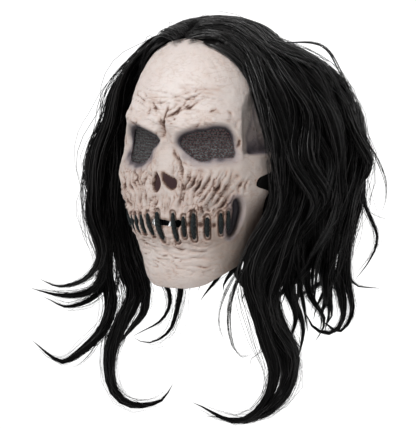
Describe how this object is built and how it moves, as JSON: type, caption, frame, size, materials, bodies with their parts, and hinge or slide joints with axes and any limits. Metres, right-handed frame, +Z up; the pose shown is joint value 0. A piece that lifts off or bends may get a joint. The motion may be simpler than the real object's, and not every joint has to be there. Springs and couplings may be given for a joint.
{
  "type": "skull mask",
  "caption": "Full-face skull mask with sewn lips, dark eye nets and a cap that carries long waved dark hair, shaped as worn.",
  "frame": {"origin": "the point inside the cap that the crown of the wearer's head touches", "axes": "+Z up with the head upright, -Y the way the face looks, +X toward the wearer's left"},
  "size_m": [0.3173, 0.2483, 0.4144],
  "materials": {
    "latex": "painted latex, satin with dark washed creases",
    "eye_net": "dark perforated sheet",
    "cord": "black twisted cord",
    "cap_cloth": "dark matt cloth",
    "hair": "near-black waved synthetic hair with soft shine"
  },
  "bodies": {
    "root": {"face_shell": "latex", "eye_net_left": "eye_net", "eye_net_right": "eye_net", "stitch_01": "cord", "stitch_02": "cord", "stitch_03": "cord", "stitch_04": "cord", "stitch_05": "cord", "stitch_06": "cord", "stitch_07": "cord", "stitch_08": "cord", "stitch_09": "cord", "stitch_10": "cord", "stitch_11": "cord", "stitch_12": "cord", "stitch_13": "cord", "wig_cap": "cap_cloth", "hair": "hair"}
  },
  "joints": []
}
